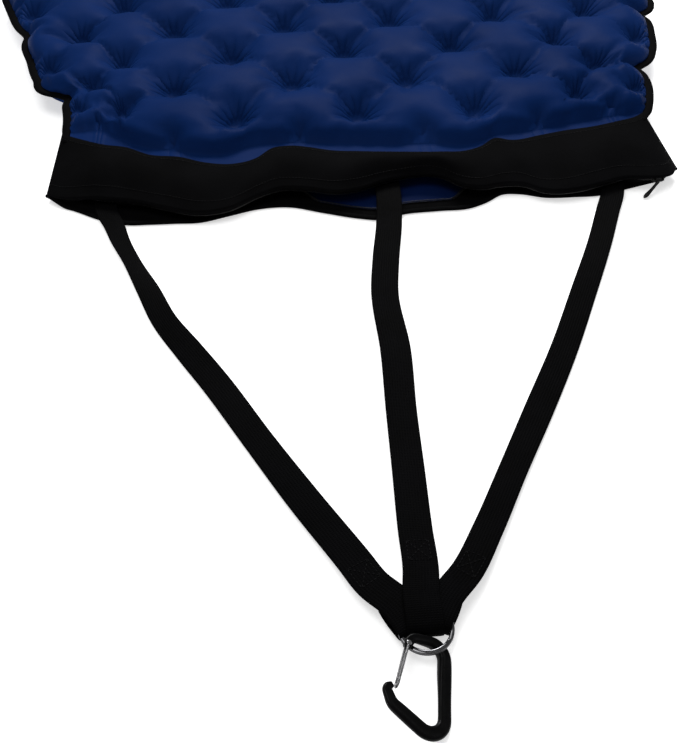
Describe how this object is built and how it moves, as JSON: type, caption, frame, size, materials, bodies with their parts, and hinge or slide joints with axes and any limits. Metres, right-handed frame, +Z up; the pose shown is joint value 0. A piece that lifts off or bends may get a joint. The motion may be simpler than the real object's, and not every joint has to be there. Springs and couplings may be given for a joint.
{
  "type": "inflatable hammock pad",
  "caption": "Inflatable dimpled hammock pad with bound edges, zipped end pockets, and a webbing bridle, steel ring and wire-gate carabiner at each end.",
  "frame": {"origin": "on the ground under the middle of the pad", "axes": "+Y along the pad from the front end to the rear end, +X across it, +Z up"},
  "size_m": [0.798, 2.9494, 0.0654],
  "materials": {
    "pad_fabric": "matte",
    "band_fabric": "matte",
    "binding_tape": "matte",
    "webbing": "satin",
    "zip_tape": "matte",
    "zip_coil": "satin",
    "zip_metal": "satin",
    "ring_steel": "polished",
    "carabiner_alloy": "satin",
    "gate_steel": "polished",
    "valve_plastic": "matte",
    "valve_rubber": "matte"
  },
  "bodies": {
    "pad": {"pad_top_sheet": "pad_fabric", "pad_bottom_sheet": "pad_fabric", "side_binding_left": "binding_tape", "side_binding_right": "binding_tape", "valve_base": "valve_plastic", "front_pocket_band": "band_fabric", "front_pocket_floor": "pad_fabric", "front_lip_binding": "binding_tape", "front_zip_tape_upper": "zip_tape", "front_zip_tape_lower": "zip_tape", "front_zip_coil_upper": "zip_coil", "front_zip_coil_lower": "zip_coil", "front_zip_stops": "zip_metal", "front_strap_left_root": "webbing", "front_strap_centre_root": "webbing", "front_strap_right_root": "webbing", "rear_pocket_band": "band_fabric", "rear_pocket_floor": "pad_fabric", "rear_lip_binding": "binding_tape", "rear_zip_tape_upper": "zip_tape", "rear_zip_tape_lower": "zip_tape", "rear_zip_coil_upper": "zip_coil", "rear_zip_coil_lower": "zip_coil", "rear_zip_stops": "zip_metal", "rear_strap_left_root": "webbing", "rear_strap_centre_root": "webbing", "rear_strap_right_root": "webbing"},
    "valve_cap": {"valve_cap": "valve_plastic"},
    "valve_flap": {"valve_flap": "valve_rubber"},
    "front_bridle": {"front_strap_left": "webbing", "front_strap_centre": "webbing", "front_strap_right": "webbing", "front_strap_left_eye": "webbing", "front_strap_centre_eye": "webbing", "front_strap_right_eye": "webbing"},
    "front_ring": {"front_bridle_ring": "ring_steel"},
    "front_carabiner": {"front_carabiner_body": "carabiner_alloy", "front_carabiner_rivet": "gate_steel"},
    "front_gate": {"front_carabiner_gate": "gate_steel"},
    "front_slider": {"front_zip_slider": "zip_metal"},
    "front_pull": {"front_zip_pull": "zip_metal"},
    "rear_bridle": {"rear_strap_left": "webbing", "rear_strap_centre": "webbing", "rear_strap_right": "webbing", "rear_strap_left_eye": "webbing", "rear_strap_centre_eye": "webbing", "rear_strap_right_eye": "webbing"},
    "rear_ring": {"rear_bridle_ring": "ring_steel"},
    "rear_carabiner": {"rear_carabiner_body": "carabiner_alloy", "rear_carabiner_rivet": "gate_steel"},
    "rear_gate": {"rear_carabiner_gate": "gate_steel"},
    "rear_slider": {"rear_zip_slider": "zip_metal"},
    "rear_pull": {"rear_zip_pull": "zip_metal"}
  },
  "joints": [
    {"name": "front_bridle_lift", "type": "hinge", "parent": "pad", "child": "front_bridle", "pos_m": [0, -0.957, 0.009], "axis": [-1, 0, 0], "range_deg": [0, 75]},
    {"name": "front_ring_swing", "type": "hinge", "parent": "front_bridle", "child": "front_ring", "pos_m": [-0.015, -1.3876, 0.0093], "axis": [-1, 0, 0], "range_deg": [-30, 90], "deforming": ["front_strap_left_eye", "front_strap_centre_eye", "front_strap_right_eye"]},
    {"name": "front_carabiner_slide_round", "type": "hinge", "parent": "front_ring", "child": "front_carabiner", "pos_m": [-0.015, -1.405, 0.0093], "axis": [0, 0, 1], "range_deg": [-25, 25]},
    {"name": "front_gate_open", "type": "hinge", "parent": "front_carabiner", "child": "front_gate", "pos_m": [-0.02956, -1.41797, 0.0156], "axis": [0.4163, -0.0727, 0.9063], "range_deg": [0, 30], "stiffness_Nm_per_rad": 0.01, "springref_deg": -28.65},
    {"name": "front_zip_slide", "type": "slide", "parent": "pad", "child": "front_slider", "axis": [-1, 0, 0], "range_m": [0, 0.014]},
    {"name": "front_pull_swing", "type": "hinge", "parent": "front_slider", "child": "front_pull", "pos_m": [0.296, -0.947, 0.013], "axis": [-1, 0, 0], "range_deg": [0, 110]},
    {"name": "rear_bridle_lift", "type": "hinge", "parent": "pad", "child": "rear_bridle", "pos_m": [0, 0.957, 0.009], "axis": [1, 0, 0], "range_deg": [0, 75]},
    {"name": "rear_ring_swing", "type": "hinge", "parent": "rear_bridle", "child": "rear_ring", "pos_m": [0.015, 1.3876, 0.0093], "axis": [1, 0, 0], "range_deg": [-30, 90], "deforming": ["rear_strap_left_eye", "rear_strap_centre_eye", "rear_strap_right_eye"]},
    {"name": "rear_carabiner_slide_round", "type": "hinge", "parent": "rear_ring", "child": "rear_carabiner", "pos_m": [0.015, 1.405, 0.0093], "axis": [0, 0, 1], "range_deg": [-25, 25]},
    {"name": "rear_gate_open", "type": "hinge", "parent": "rear_carabiner", "child": "rear_gate", "pos_m": [0.02956, 1.41797, 0.0156], "axis": [-0.4163, 0.0727, 0.9063], "range_deg": [0, 30], "stiffness_Nm_per_rad": 0.01, "springref_deg": -28.65},
    {"name": "rear_zip_slide", "type": "slide", "parent": "pad", "child": "rear_slider", "axis": [1, 0, 0], "range_m": [0, 0.014]},
    {"name": "rear_pull_swing", "type": "hinge", "parent": "rear_slider", "child": "rear_pull", "pos_m": [-0.296, 0.947, 0.013], "axis": [1, 0, 0], "range_deg": [0, 110]},
    {"name": "valve_cap_hinge", "type": "hinge", "parent": "pad", "child": "valve_cap", "pos_m": [-0.16, 0.78, 0.0639], "axis": [0, 1, 0], "range_deg": [0, 150]},
    {"name": "valve_flap_hinge", "type": "hinge", "parent": "pad", "child": "valve_flap", "pos_m": [-0.1955, 0.78, 0.0431], "axis": [0, 1, 0], "range_deg": [0, 30], "stiffness_Nm_per_rad": 0.002, "springref_deg": -17.19}
  ]
}
